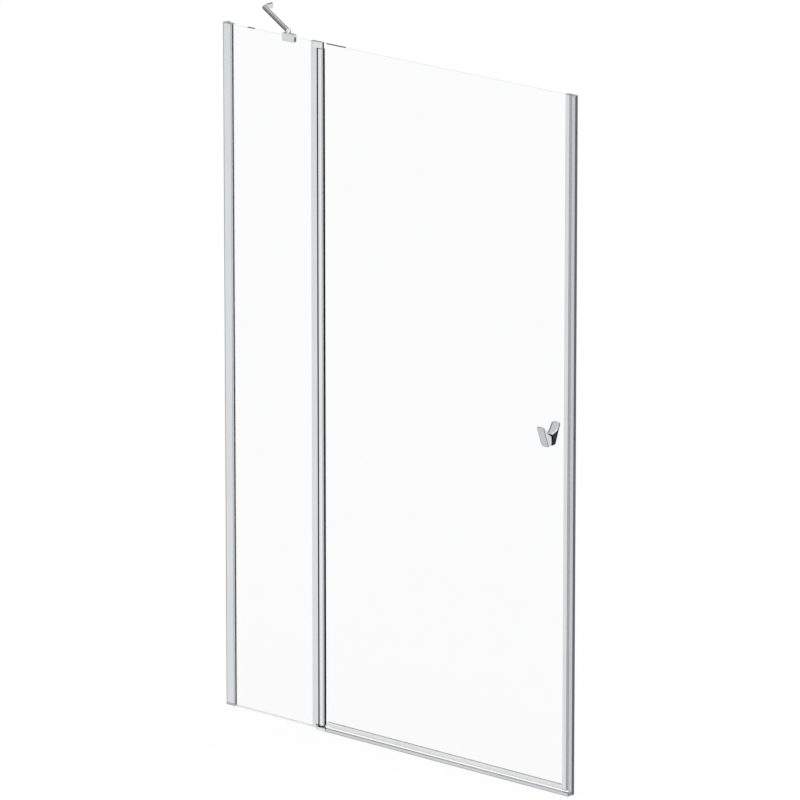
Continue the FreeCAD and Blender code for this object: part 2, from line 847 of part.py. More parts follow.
def clamp_grub_screws():
    screws = []
    seat_y = glass_half + clamp_pad_t
    end_y = clamp_depth / 2 - grub_sunk
    for side in (-1, 1):
        x = clamp_x + side * grub_spread
        z = clamp_low() + grub_from_edge
        screw = rod_in_y(grub_r, x, seat_y, end_y, z)
        hexagon = Part.makePolygon([
            point(x + hex_r * math.cos(math.pi * k / 3), end_y - hex_d,
                  z + hex_r * math.sin(math.pi * k / 3)) for k in range(7)])
        socket = Part.Face(hexagon).extrude(point(0, hex_d + overrun, 0))
        screws.append(screw.cut(socket))
    return group(screws)


def rounded_path(corners, radius):
    """Straight runs between corners, joined by tangent arcs."""
    edges = []
    start = corners[0]
    for before, corner, after in zip(corners, corners[1:], corners[2:]):
        into = (corner - before).normalize()
        away = (after - corner).normalize()
        turn = into.getAngle(away)
        reach = radius * math.tan(turn / 2)
        first = corner - into * reach
        last = corner + away * reach
        middle_way = (away - into).normalize()
        middle = corner + middle_way * (radius / math.cos(turn / 2) - radius)
        edges.append(Part.LineSegment(start, first).toShape())
        edges.append(Part.Arc(first, middle, last).toShape())
        start = last
    edges.append(Part.LineSegment(start, corners[-1]).toShape())
    return Part.Wire(edges)


def bar_run():
    """The round bar, which sinks a little into the top of the clamp."""
    wall_side_x = left_wall_x + bar_r + bar_off_wall
    corners = [
        point(bar_x, 0, clamp_top - bar_socket), point(bar_x, 0, bar_z),
        point(wall_side_x, bar_reach, bar_z), point(wall_side_x, bar_reach + bar_tail, bar_z),
    ]
    path = rounded_path(corners, bar_bend_r)
    ring = Part.Wire(Part.makeCircle(bar_r, corners[0], Z_AXIS))
    tube = path.makePipeShell([ring], True, False)
    return tube.fuse(Part.makeSphere(bar_r, corners[-1]))


def stay_bar():
    tab = block(left_wall_x, left_wall_x + tab_t, tab_start_y, tab_end_y,
                tab_z - tab_half, tab_z + tab_half)
    tab = soften(tab, tab_corner_r, lambda edge: (
        max(edge.BoundBox.YLength, edge.BoundBox.ZLength) < edge_tolerance))
    tab = soften(tab, corner_r, lambda edge: (
        edge.BoundBox.XMin > left_wall_x + tab_t - edge_tolerance))
    bar = bar_run().fuse(tab)
    return bar.cut(rod_in_x(tab_hole_r, left_wall_x - overrun, left_wall_x + tab_t + overrun,
                            tab_end_y - tab_hole_from_end, tab_z))


# Handle: a foot against the glass and a lip that flares away above it
def handle_face(z):
    """How far the outer face stands from the middle of the glass."""
    return handle_back + handle_foot_t + handle_flare * (z - handle_low) / handle_h


def handle_half(side):
    top = handle_low + handle_h
    half_w = handle_w / 2
    bend = (handle_back + handle_web_out, handle_low + handle_web_h)
    points = [
        (handle_back, handle_low), (handle_face(handle_low), handle_low),
        (handle_face(top), top), (handle_face(top) - handle_lip_t, top), bend,
        (handle_back, handle_low + handle_foot_h),
    ]
    body = side_prism([(side * y, z) for y, z in points], handle_x - half_w, handle_x + half_w)
    body = soften(body, handle_bend_r, lambda edge: (
        edge.BoundBox.ZLength < edge_tolerance
        and max(abs(abs(edge.BoundBox.YMin) - bend[0]), abs(edge.BoundBox.ZMin - bend[1]))
        < edge_tolerance))
    body = soften(body, handle_corner_r, lambda edge: (
        max(edge.BoundBox.XLength, edge.BoundBox.ZLength) < edge_tolerance))
    body = soften(body, handle_soft_r, lambda edge: (
        min(abs(edge.BoundBox.YMin), abs(edge.BoundBox.YMax))
        > handle_face(edge.BoundBox.ZMin) - edge_tolerance))
    return body.cut(stud())


def handle_pad(side):
    half_w = handle_w / 2 - handle_pad_inset
    near_y = side * glass_half
    far_y = side * handle_back
    pad = block(handle_x - half_w, handle_x + half_w, min(near_y, far_y), max(near_y, far_y),
                handle_low + handle_pad_inset, handle_low + handle_foot_h - handle_pad_inset)
    pad = soften(pad, handle_corner_r, lambda edge: (
        max(edge.BoundBox.XLength, edge.BoundBox.ZLength) < edge_tolerance))
    return pad.cut(stud())


def stud():
    end_y = handle_back + stud_bite
    return rod_in_y(stud_r, handle_x, -end_y, end_y, stud_z)


def handle_sleeve():
    body = rod_in_y(sleeve_r, handle_x, -glass_half, glass_half, stud_z)
    return body.cut(rod_in_y(stud_r + fit_gap, handle_x, -glass_t, glass_t, stud_z))


os.makedirs("parts", exist_ok=True)

# Fixed frame
export("wall_channel_left", wall_channel_left())
export("glazing_profile_left", glazing_profile_left())
export("glazing_gasket_left", gasket(left_web_x, left_mouth_x, left_foot_h, profile_top))
export("adjusting_screws", group([adjusting_screw(z) for z in adjust_heights]))
export("screw_covers", group([screw_cover(z) for z in adjust_heights]))
export("top_cap_left", top_cap_left())
export("bottom_cap_left", bottom_cap_left())
export("fixed_glass", fixed_glass())
export("fixed_glass_strip", fixed_glass_strip())
export("sill_strip", sill_strip())
export("hinge_post", hinge_post())
export("post_gasket", gasket(post_web_x, post_x, fixed_glass_lift, profile_top))
export("post_pad", post_pad())
export("post_top_cap", post_top_cap())
export("post_wiper", post_wiper())
export("top_pivot_block", top_pivot_block())
export("bottom_pivot_block", bottom_pivot_block())
export("block_screws", group([block_screw(z) for z in block_screw_heights()]))
export("top_pivot_pin", top_pivot_pin())
export("bottom_pivot_pin", bottom_pivot_pin())
export("pivot_washers", pivot_washers())
export("threshold_rail", threshold_rail())
export("rail_end_cap", rail_end_cap())
export("wall_channel_right", wall_channel_right())
export("strike_seal", strike_seal())
export("strike_magnet", strike_magnet())
export("top_cap_right", top_cap_right())
export("bottom_cap_right", bottom_cap_right())
export("clamp_body", clamp_body())
export("clamp_lining", clamp_lining())
export("clamp_grub_screws", clamp_grub_screws())
export("stay_bar", stay_bar())

# Door leaf
export("pivot_stile", pivot_stile())
export("stile_gasket", stile_gasket())
export("stile_plug_bottom", end_plug(stile_low))
export("stile_plug_top", end_plug(high_plug_start))
export("bottom_bush", bottom_bush())
export("top_bush", top_bush())
export("door_glass", door_glass())
export("closing_profile", closing_profile())
export("closing_gasket", gasket(closing_web_x, closing_x, closing_low, profile_top))
export("closing_caps", closing_caps())
export("magnet_seal", magnet_seal())
export("door_magnet", door_magnet())
export("door_bottom_seal", door_bottom_seal())
export("glass_top_strip", glass_top_strip())
export("handle_outer", handle_half(-1))
export("handle_inner", handle_half(1))
export("handle_pad_outer", handle_pad(-1))
export("handle_pad_inner", handle_pad(1))
export("handle_stud", stud())
export("handle_sleeve", handle_sleeve())
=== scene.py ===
import json
import math
import bmesh
import bpy
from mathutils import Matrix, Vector


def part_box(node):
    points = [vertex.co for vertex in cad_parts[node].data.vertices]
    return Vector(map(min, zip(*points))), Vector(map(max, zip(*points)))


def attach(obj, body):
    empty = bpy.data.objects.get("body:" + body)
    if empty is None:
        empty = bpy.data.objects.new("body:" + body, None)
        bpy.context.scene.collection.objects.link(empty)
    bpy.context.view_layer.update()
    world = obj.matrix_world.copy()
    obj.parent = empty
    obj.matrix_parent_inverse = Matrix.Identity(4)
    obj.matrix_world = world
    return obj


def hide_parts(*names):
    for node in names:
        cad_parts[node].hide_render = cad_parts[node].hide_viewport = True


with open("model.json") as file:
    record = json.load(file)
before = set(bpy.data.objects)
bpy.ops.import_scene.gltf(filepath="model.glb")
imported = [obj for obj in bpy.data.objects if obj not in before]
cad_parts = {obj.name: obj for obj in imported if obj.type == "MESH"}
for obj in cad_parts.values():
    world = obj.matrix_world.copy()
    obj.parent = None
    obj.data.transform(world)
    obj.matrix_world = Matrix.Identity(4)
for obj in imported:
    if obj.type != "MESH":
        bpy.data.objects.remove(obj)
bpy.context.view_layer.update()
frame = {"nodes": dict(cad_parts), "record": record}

scene = bpy.context.scene
scene.view_settings.view_transform = "Standard"
mm = 0.001
touch = 0.05 * mm       # how near counts as the same place
weld = 0.001 * mm       # corners nearer than this are one corner
sharpEdge = 32          # degrees: edges that turn more than this stay sharp
easeSteps = 2           # faces across an eased edge
finestEase = 0.02 * mm  # rounding of edges that look sharp
right, up = Vector((1, 0, 0)), Vector((0, 0, 1))
nodes = frame["nodes"]
slotOf = {part["node"]: part["material_slot"] for part in frame["record"]["subparts"]}
bodyOf = {name: body for body, names in frame["record"]["behaviour"]["bodies"].items()
          for name in names}
replaced = set()        # nodes that a piece made here stands in for
print("frame loaded:", len(nodes), "nodes")

# Solid finishes. The grain is how fine the pattern is along x, y and z: a low value along
# one way draws it out into lines, as on an extrusion.
finishes = {
    "anodised": dict(tint=(0.836, 0.86, 0.882), metallic=1.0, rough=0.22, wander=0.05,
                     grain=(1500, 1500, 4), bump=0.05),
    # painted shade: the threshold rail is tinted darker, for the light falling off to the right;
    # its grain drawn out along x is its own
    "anodisedLongPaintedShade": dict(tint=(0.765, 0.77, 0.79), metallic=1.0, rough=0.28, wander=0.05,
                         grain=(4, 1500, 1500), bump=0.05),
    # painted shade: the right wall channel is tinted darker, for the light falling off to the right
    "anodisedRightPaintedShade": dict(tint=(0.67, 0.70, 0.73), metallic=1.0, rough=0.26, wander=0.05,
                          grain=(1500, 1500, 4), bump=0.05),
    # painted shade: the dark finish of the sides that face right
    "shadedSide": dict(tint=(0.25, 0.26, 0.28), metallic=0.80, rough=0.35, wander=0.05,
                       grain=(1500, 1500, 4), bump=0.05),
    # painted shade: the dark finish in the grooves and along the wall tab's top edge
    "grooveShade": dict(tint=(0.36, 0.37, 0.39), metallic=0.8, rough=0.42, wander=0.05,
                        grain=(1500, 1500, 4), bump=0.05),
    "chrome": dict(tint=(0.88, 0.89, 0.91), metallic=1.0, rough=0.06, wander=0.03,
                   grain=(160, 160, 160), bump=0.01),
    "satinMetal": dict(tint=(0.80, 0.82, 0.835), metallic=1.0, rough=0.24, wander=0.05,
                       grain=(900, 900, 900), bump=0.04),
    # painted light: a pale, hardly metallic finish for the stay bar's end and wall tab, where
    # chrome would show shade, and for sides of the clamp and grip that face right
    "paleMetalPaintedLight": dict(tint=(0.86, 0.87, 0.88), metallic=0.15, rough=0.38, wander=0.05,
                      grain=(900, 900, 900), bump=0.04),
    "gripMetal": dict(tint=(0.79, 0.81, 0.845), metallic=1.0, rough=0.12, wander=0.04,
                      grain=(300, 300, 300), bump=0.02),
    # painted shade: the dark rounded rim and outline of the grips
    "gripRimPaintedShade": dict(tint=(0.22, 0.225, 0.24), metallic=0.9, rough=0.22, wander=0.05,
                    grain=(300, 300, 300), bump=0.02),
    # painted shade: the darker back of the inner grip
    "gripBackPaintedShade": dict(tint=(0.60, 0.615, 0.64), metallic=1.0, rough=0.16, wander=0.04,
                     grain=(300, 300, 300), bump=0.02),
    # painted highlight: the bright band along the slanting line on the inner grip's back
    "paintedHighlightBand": dict(tint=(0.99, 0.99, 0.99), metallic=1.0, rough=0.10, wander=0.04,
                       grain=(300, 300, 300), bump=0.02),
    "stainless": dict(tint=(0.66, 0.66, 0.67), metallic=1.0, rough=0.24, wander=0.05,
                      grain=(1400, 60, 1400), bump=0.06),
    "palePlastic": dict(tint=(0.52, 0.53, 0.55), metallic=0.6, rough=0.34, wander=0.05,
                        grain=(900, 900, 900), bump=0.06),
    "greySeal": dict(tint=(0.45, 0.455, 0.46), metallic=0.0, rough=0.45, wander=0.08,
                     grain=(700, 700, 40), bump=0.10),
    "blackRubber": dict(tint=(0.006, 0.006, 0.007), metallic=0.0, rough=0.60, wander=0.10,
                        gloss=0.15, grain=(1200, 1200, 1200), bump=0.16),
    "blackPlastic": dict(tint=(0.016, 0.016, 0.018), metallic=0.0, rough=0.38, wander=0.06,
                         gloss=0.3, grain=(1800, 1800, 1800), bump=0.10),
    "whitePlastic": dict(tint=(0.72, 0.72, 0.70), metallic=0.0, rough=0.36, wander=0.06,
                         grain=(1600, 1600, 1600), bump=0.08),
    "paleSeal": dict(tint=(0.985, 0.985, 0.985), metallic=0.0, rough=0.45, wander=0.06,
                     grain=(40, 700, 700), bump=0.05),
    "groundEdge": dict(tint=(0.86, 0.885, 0.875), metallic=0.0, rough=0.45, wander=0.08,
                       grain=(900, 900, 900), bump=0.08),
}
clearFinishes = {
    # the glass has the gloss of its coat and hardly bends what is seen through it
    "clearGlass": dict(tint=(0.968, 0.972, 0.970), rough=0.004, ior=1.03, clearness=1.0,
                       coat=0.15),
    "clearSeal": dict(tint=(0.95, 0.955, 0.96), rough=0.25, ior=1.15, clearness=0.30, coat=0.0),
}
patches = dict(detail=1.0, dullBelow=0.35, fullAbove=0.65)  # slow change of tone along a length
solidLook = dict(patchScale=6.0, dullTone=0.97, grainDetail=3.0, bumpDepth=0.05 * mm, gloss=0.5)
clearLook = dict(patchScale=9.0, dullTone=0.997, wanderShare=0.4, coatRough=0.01)


def link(tree, source, target):
    tree.links.new(source, target)


def toneNodes(tree, shader, coords, look, tint):
    cloud = tree.nodes.new("ShaderNodeTexNoise")
    cloud.inputs["Scale"].default_value = look["patchScale"]
    cloud.inputs["Detail"].default_value = patches["detail"]
    link(tree, coords.outputs["Object"], cloud.inputs["Vector"])
    tone = tree.nodes.new("ShaderNodeValToRGB")
    dull, full = tone.color_ramp.elements
    dull.color = (*[look["dullTone"] * c for c in tint], 1)
    full.color = (*tint, 1)
    dull.position = patches["dullBelow"]
    full.position = patches["fullAbove"]
    link(tree, cloud.outputs["Fac"], tone.inputs["Fac"])
    link(tree, tone.outputs["Color"], shader.inputs["Base Color"])
    return cloud


def roughnessNodes(tree, shader, noise, rough, wander):  # roughness wanders with a pattern
    spread = tree.nodes.new("ShaderNodeMapRange")
    spread.inputs["To Min"].default_value = max(0.0, rough - wander)
    spread.inputs["To Max"].default_value = rough + wander
    link(tree, noise.outputs["Fac"], spread.inputs["Value"])
    link(tree, spread.outputs["Result"], shader.inputs["Roughness"])


def newMaterial(name):
    material = bpy.data.materials.new(name)
    material.use_nodes = True
    tree = material.node_tree
    return material, tree, tree.nodes["Principled BSDF"], tree.nodes.new("ShaderNodeTexCoord")


def solidMaterial(name, finish):
    material, tree, shader, coords = newMaterial(name)
    shader.inputs["Metallic"].default_value = finish["metallic"]
    shader.inputs["Specular IOR Level"].default_value = finish.get("gloss", solidLook["gloss"])
    mapping = tree.nodes.new("ShaderNodeMapping")
    mapping.inputs["Scale"].default_value = finish["grain"]
    noise = tree.nodes.new("ShaderNodeTexNoise")
    noise.inputs["Scale"].default_value = 1.0
    noise.inputs["Detail"].default_value = solidLook["grainDetail"]
    link(tree, coords.outputs["Object"], mapping.inputs["Vector"])
    link(tree, mapping.outputs["Vector"], noise.inputs["Vector"])
    roughnessNodes(tree, shader, noise, finish["rough"], finish["wander"])
    bump = tree.nodes.new("ShaderNodeBump")
    bump.inputs["Strength"].default_value = finish["bump"]
    bump.inputs["Distance"].default_value = solidLook["bumpDepth"]
    link(tree, noise.outputs["Fac"], bump.inputs["Height"])
    link(tree, bump.outputs["Normal"], shader.inputs["Normal"])
    toneNodes(tree, shader, coords, solidLook, finish["tint"])
    return material


def clearMaterial(name, finish):
    material, tree, shader, coords = newMaterial(name)
    shader.inputs["IOR"].default_value = finish["ior"]
    shader.inputs["Transmission Weight"].default_value = finish["clearness"]
    shader.inputs["Coat Weight"].default_value = finish["coat"]
    shader.inputs["Coat Roughness"].default_value = clearLook["coatRough"]
    cloud = toneNodes(tree, shader, coords, clearLook, finish["tint"])
    wander = clearLook["wanderShare"] * finish["rough"]
    roughnessNodes(tree, shader, cloud, finish["rough"], wander)
    return material


materials = {name: solidMaterial(name, finish) for name, finish in finishes.items()}
materials.update({name: clearMaterial(name, finish) for name, finish in clearFinishes.items()})
slotFinish = {
    "anodised": "anodised", "chrome": "chrome", "satin_metal": "satinMetal",
    "stainless": "stainless", "pale_plastic": "palePlastic", "grey_seal": "greySeal",
    "black_rubber": "blackRubber", "black_plastic": "blackPlastic",
    "white_plastic": "whitePlastic", "clear_glass": "clearGlass", "clear_seal": "clearSeal",
}
nodeFinish = {  # nodes that look other than the rest of their slot; the rail and the right wall channel are darker by painted shade
    "threshold_rail": "anodisedLongPaintedShade", "wall_channel_right": "anodisedRightPaintedShade",
    "handle_outer": "gripMetal", "handle_inner": "gripMetal",
    "door_bottom_seal": "paleSeal", "sill_strip": "paleSeal",
}
print("materials made:", len(materials))


def finishFor(node):
    return materials[nodeFinish.get(node, slotFinish[slotOf[node]])]


def addPiece(name, mesh, node):  # a piece in place of a node, on that node's body
    piece = bpy.data.objects.new(name, mesh)
    scene.collection.objects.link(piece)
    if not mesh.materials:
        mesh.materials.append(finishFor(node))
    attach(piece, bodyOf[node])
    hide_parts(node)
    replaced.add(node)
    return piece


def shadeByAngle(bm, degrees=sharpEdge):
    for face in bm.faces:
        face.smooth = True
    limit = math.radians(degrees)
    for edge in bm.edges:
        edge.smooth = len(edge.link_faces) == 2 and edge.calc_face_angle(0.0) < limit


def easeEdges(piece, width, degrees=sharpEdge):
    bevel = piece.modifiers.new("easedEdges", "BEVEL")
    bevel.width = width
    bevel.segments = easeSteps
    bevel.limit_method = "ANGLE"
    bevel.angle_limit = math.radians(degrees)
    bevel.use_clamp_overlap = True
    weighted = piece.modifiers.new("weightedNormals", "WEIGHTED_NORMAL")
    weighted.keep_sharp = True
    weighted.weight = 100  # the large faces decide, so they stay flat


merging = dict(distance=0.002 * mm, flatWithin=0.4)  # flatWithin is in degrees


def mergedCopy(node):  # a node's loose triangles, merged and with flat faces whole
    bm = bmesh.new()
    bm.from_mesh(nodes[node].data)
    bmesh.ops.remove_doubles(bm, verts=bm.verts, dist=merging["distance"])
    bmesh.ops.dissolve_limit(bm, angle_limit=math.radians(merging["flatWithin"]),
                             verts=bm.verts, edges=bm.edges)
    return bm


def cutAcross(bm, place, way):  # a line across the faces, where a second finish begins
    bmesh.ops.bisect_plane(bm, geom=bm.verts[:] + bm.edges[:] + bm.faces[:], dist=weld,
                           plane_co=place, plane_no=way)


# A node's own shape with eased edges. Accents put other finishes, real ones and painted light and
# shade, on the faces that a test picks by their middle and direction, and the last one that picks a
# face wins.
def dressedCopy(node, name, easeEdge=finestEase, accents=(), cuts=(), nudge=None):
    bm = mergedCopy(node)
    if nudge:
        for vert in bm.verts:
            nudge(vert.co)
    for place, way in cuts:
        cutAcross(bm, place, way)
    shadeByAngle(bm)
    mesh = bpy.data.meshes.new(name)
    mesh.materials.append(finishFor(node))
    for finishName, test in accents:
        mesh.materials.append(materials[finishName])
        for face in bm.faces:
            if test(face.calc_center_median(), face.normal):
                face.material_index = len(mesh.materials) - 1
    bm.to_mesh(mesh)
    bm.free()
    easeEdges(addPiece(name, mesh, node), easeEdge)


def newTree(name, inputs):
    tree = bpy.data.node_groups.new(name, "GeometryNodeTree")
    tree.interface.new_socket("Geometry", in_out="INPUT", socket_type="NodeSocketGeometry")
    for label, kind in inputs:
        tree.interface.new_socket(label, in_out="INPUT", socket_type="NodeSocket" + kind)
    tree.interface.new_socket("Geometry", in_out="OUTPUT", socket_type="NodeSocketGeometry")
    return tree, tree.nodes.new("NodeGroupInput"), tree.nodes.new("NodeGroupOutput")


def roundShading(tree, geometry, source):  # smooth faces, with the edges over an angle sharp
    angle = tree.nodes.new("GeometryNodeInputMeshEdgeAngle")
    compare = tree.nodes.new("FunctionNodeCompare")
    compare.operation = "LESS_THAN"
    link(tree, source.outputs["Sharp Edge"], compare.inputs[1])
    link(tree, angle.outputs["Unsigned Angle"], compare.inputs[0])
    faces = tree.nodes.new("GeometryNodeSetShadeSmooth")
    edges = tree.nodes.new("GeometryNodeSetShadeSmooth")
    edges.domain = "EDGE"
    link(tree, geometry, faces.inputs[0])
    link(tree, faces.outputs[0], edges.inputs[0])
    link(tree, compare.outputs[0], edges.inputs["Shade Smooth"])
    return edges.outputs[0]


def finishTree(tree, geometry, source, target):
    real = tree.nodes.new("GeometryNodeRealizeInstances")
    painted = tree.nodes.new("GeometryNodeSetMaterial")
    link(tree, geometry, real.inputs[0])
    link(tree, real.outputs[0], painted.inputs[0])
    link(tree, source.outputs["Finish"], painted.inputs["Material"])
    link(tree, painted.outputs[0], target.inputs[0])


def makeDrawnTree():  # a flat section drawn out along a run, as an extrusion is
    tree, source, target = newTree("drawnSection", [
        ("Run", "Vector"), ("Sharp Edge", "Float"), ("Finish", "Material")])
    length = tree.nodes.new("ShaderNodeVectorMath")
    length.operation = "LENGTH"
    link(tree, source.outputs["Run"], length.inputs[0])
    unit = tree.nodes.new("ShaderNodeVectorMath")
    unit.operation = "NORMALIZE"
    link(tree, source.outputs["Run"], unit.inputs[0])
    draw = tree.nodes.new("GeometryNodeExtrudeMesh")
    draw.inputs["Individual"].default_value = False
    link(tree, source.outputs["Geometry"], draw.inputs["Mesh"])
    link(tree, unit.outputs["Vector"], draw.inputs["Offset"])
    link(tree, length.outputs["Value"], draw.inputs["Offset Scale"])
    near = tree.nodes.new("GeometryNodeFlipFaces")  # the section itself closes the near end
    link(tree, source.outputs["Geometry"], near.inputs["Mesh"])
    both = tree.nodes.new("GeometryNodeJoinGeometry")
    link(tree, draw.outputs["Mesh"], both.inputs[0])
    link(tree, near.outputs["Mesh"], both.inputs[0])
    merge = tree.nodes.new("GeometryNodeMergeByDistance")
    merge.inputs["Distance"].default_value = weld
    link(tree, both.outputs[0], merge.inputs[0])
    finishTree(tree, roundShading(tree, merge.outputs[0], source), source, target)
    return tree


def makeRowTree():  # a small part repeated along a row
    tree, source, target = newTree("rowOfParts", [
        ("Count", "Int"), ("Step", "Vector"), ("Finish", "Material")])
    line = tree.nodes.new("GeometryNodeMeshLine")
    link(tree, source.outputs["Count"], line.inputs["Count"])
    link(tree, source.outputs["Step"], line.inputs["Offset"])
    place = tree.nodes.new("GeometryNodeInstanceOnPoints")
    link(tree, line.outputs[0], place.inputs["Points"])
    link(tree, source.outputs["Geometry"], place.inputs["Instance"])
    finishTree(tree, place.outputs[0], source, target)
    return tree


def makeTubeTree():  # a round bar along a path, its corners bent to one radius
    tree, source, target = newTree("bentTube", [
        ("Radius", "Float"), ("Sides", "Int"), ("Bend", "Float"), ("Bend Steps", "Int"),
        ("Sharp Edge", "Float"), ("Finish", "Material")])
    bend = tree.nodes.new("GeometryNodeFilletCurve")
    bend.mode = "POLY"
    link(tree, source.outputs["Geometry"], bend.inputs["Curve"])
    link(tree, source.outputs["Bend"], bend.inputs["Radius"])
    link(tree, source.outputs["Bend Steps"], bend.inputs["Count"])
    ring = tree.nodes.new("GeometryNodeCurvePrimitiveCircle")
    link(tree, source.outputs["Sides"], ring.inputs["Resolution"])
    link(tree, source.outputs["Radius"], ring.inputs["Radius"])
    skin = tree.nodes.new("GeometryNodeCurveToMesh")
    skin.inputs["Fill Caps"].default_value = True
    link(tree, bend.outputs["Curve"], skin.inputs["Curve"])
    link(tree, ring.outputs["Curve"], skin.inputs["Profile Curve"])
    finishTree(tree, roundShading(tree, skin.outputs["Mesh"], source), source, target)
    return tree


trees = {"drawn": makeDrawnTree(), "row": makeRowTree(), "tube": makeTubeTree()}


def growMesh(name, data, treeName, values):  # runs a tree and returns a plain mesh
    seed = bpy.data.objects.new(name + "Seed", data)
    scene.collection.objects.link(seed)
    grow = seed.modifiers.new("grow", "NODES")
    grow.node_group = trees[treeName]
    for item in trees[treeName].interface.items_tree:
        if item.in_out == "INPUT" and item.name in values:
            grow[item.identifier] = values[item.name]
    seed.update_tag()
    bpy.context.view_layer.update()
    evaluated = seed.evaluated_get(bpy.context.evaluated_depsgraph_get())
    grown = bpy.data.meshes.new_from_object(evaluated)
    grown.name = name
    bpy.data.objects.remove(seed)
    return grown


def sectionMesh(name, outlines):  # flat faces from closed outlines that may share edges
    bm = bmesh.new()
    for outline in outlines:
        bm.faces.new([bm.verts.new(corner) for corner in outline])
    bmesh.ops.remove_doubles(bm, verts=bm.verts, dist=weld)
    mesh = bpy.data.meshes.new(name)
    bm.to_mesh(mesh)
    bm.free()
    return mesh


def arc(centreX, centreY, radius, fromAngle, toAngle, steps):
    turn = toAngle - fromAngle
    angles = [math.radians(fromAngle + turn * k / steps) for k in range(steps + 1)]
    return [(centreX + radius * math.cos(a), centreY + radius * math.sin(a)) for a in angles]


print("node trees made:", len(trees))

stile = dict(radius=9.0 * mm, wall=1.5 * mm, slotHalf=3.05 * mm, arcSteps=72)


def makeStile():  # a round tube with a slot for the glass
    low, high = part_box("pivot_stile")
    centreX = low.x + stile["radius"]
    innerR = stile["radius"] - stile["wall"]
    outerGap = math.degrees(math.asin(stile["slotHalf"] / stile["radius"]))
    innerGap = math.degrees(math.asin(stile["slotHalf"] / innerR))
    outline = arc(centreX, 0, stile["radius"], outerGap, 360 - outerGap, stile["arcSteps"])
    outline += arc(centreX, 0, innerR, 360 - innerGap, innerGap, stile["arcSteps"])
    section = sectionMesh("stileSection", [[(x, y, low.z) for x, y in outline]])
    tube = growMesh("stileTube", section, "drawn", {
        "Run": (0, 0, high.z - low.z), "Sharp Edge": math.radians(sharpEdge),
        "Finish": finishFor("pivot_stile")})
    addPiece("stileTube", tube, "pivot_stile")


makeStile()
print("stile made")

stayBar = dict(radius=6.5 * mm, sides=48, bend=7.5 * mm, bendSteps=14, sharpEdge=40,
               fromLeft=226.0 * mm, fromWall=6.8 * mm, height=1910.0 * mm,
               reach=156.5 * mm, tail=4.5 * mm)
# the bar's end goes from a circle to a flat oblong; a power of 2 is an oval, more is squarer
flatEnd = dict(run=11.0 * mm, half=7.6 * mm, roundPower=2.0, squarePower=5.0, rings=12,
               ringSteps=48, sharpEdge=50)
wallTab = dict(thick=3.2 * mm, start=165.5 * mm, end=196.5 * mm, middle=1908.0 * mm,
               half=8.0 * mm, cornerR=5.5 * mm, holeR=2.6 * mm, holeFromEnd=13.0 * mm,
               easedEdge=0.8 * mm, sharpEdge=60, topStrip=2.4 * mm, arcSteps=10)


def makeStayBar():
    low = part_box("stay_bar")[0]
    x0 = low.x + stayBar["fromLeft"]
    x1 = low.x + stayBar["fromWall"]
    height = stayBar["height"]
    endY = stayBar["reach"] + stayBar["tail"]
    path = bpy.data.curves.new("stayBarPath", "CURVE")
    path.dimensions = "3D"
    spline = path.splines.new("POLY")
    corners = [(x0, 0, low.z), (x0, 0, height), (x1, stayBar["reach"], height),
               (x1, endY, height)]
    spline.points.add(len(corners) - 1)
    for dot, corner in zip(spline.points, corners):
        dot.co = (*corner, 1)
    tube = growMesh("stayBarTube", path, "tube", {
        "Radius": stayBar["radius"], "Sides": stayBar["sides"],
        "Bend": stayBar["bend"], "Bend Steps": stayBar["bendSteps"],
        "Sharp Edge": math.radians(stayBar["sharpEdge"]), "Finish": finishFor("stay_bar")})
    addPiece("stayBarTube", tube, "stay_bar")
    makeFlatEnd(Vector((x1, endY, height)), low.x)


def mixed(a, b, share):
    return a + (b - a) * share


def oval(centre, halfX, halfZ, power):  # a ring between a circle and an oblong
    ring = []
    for step in range(flatEnd["ringSteps"]):
        c = math.cos(math.tau * step / flatEnd["ringSteps"])
        s = math.sin(math.tau * step / flatEnd["ringSteps"])
        ring.append((centre.x + math.copysign(abs(c) ** (2 / power), c) * halfX, centre.y,
                     centre.z + math.copysign(abs(s) ** (2 / power), s) * halfZ))
    return ring


def makeFlatEnd(start, wallX):  # from the round bar to the thin tab
    halfThick = wallTab["thick"] / 2 - touch
    end = Vector((wallX + halfThick + touch, start.y + flatEnd["run"], wallTab["middle"]))
    bm = bmesh.new()
    rings = []
    for step in range(flatEnd["rings"] + 1):
        share = step / flatEnd["rings"]
        smooth = share * share * (3 - 2 * share)
        centre = Vector((mixed(start.x, end.x, smooth), mixed(start.y, end.y, share),
                         mixed(start.z, end.z, smooth)))
        rings.append([bm.verts.new(place) for place in oval(
            centre, mixed(stayBar["radius"], halfThick, smooth),
            mixed(stayBar["radius"], flatEnd["half"], smooth),
            mixed(flatEnd["roundPower"], flatEnd["squarePower"], smooth))])
    for near, far in zip(rings, rings[1:]):
        for k in range(len(near)):
            bm.faces.new((near[k], near[k - 1], far[k - 1], far[k]))
    bm.faces.new(rings[0])
    bm.faces.new(rings[-1])
    bmesh.ops.recalc_face_normals(bm, faces=bm.faces)
    shadeByAngle(bm, flatEnd["sharpEdge"])
    mesh = bpy.data.meshes.new("stayBarEnd")
    # painted light: the bar's flattened end gets the pale finish, so it reads light
    mesh.materials.append(materials["paleMetalPaintedLight"])
    bm.to_mesh(mesh)
    bm.free()
    addPiece("stayBarEnd", mesh, "stay_bar")


def shadeTopStrip(mesh, height):  # painted shade: the tab's upper edge is made a little darker
    bm = bmesh.new()
    bm.from_mesh(mesh)
    cutAcross(bm, up * height, up)
    mesh.materials.append(materials["grooveShade"])
    for face in bm.faces:
        if face.calc_center_median().z > height:
            face.material_index = len(mesh.materials) - 1
    bm.to_mesh(mesh)
    bm.free()


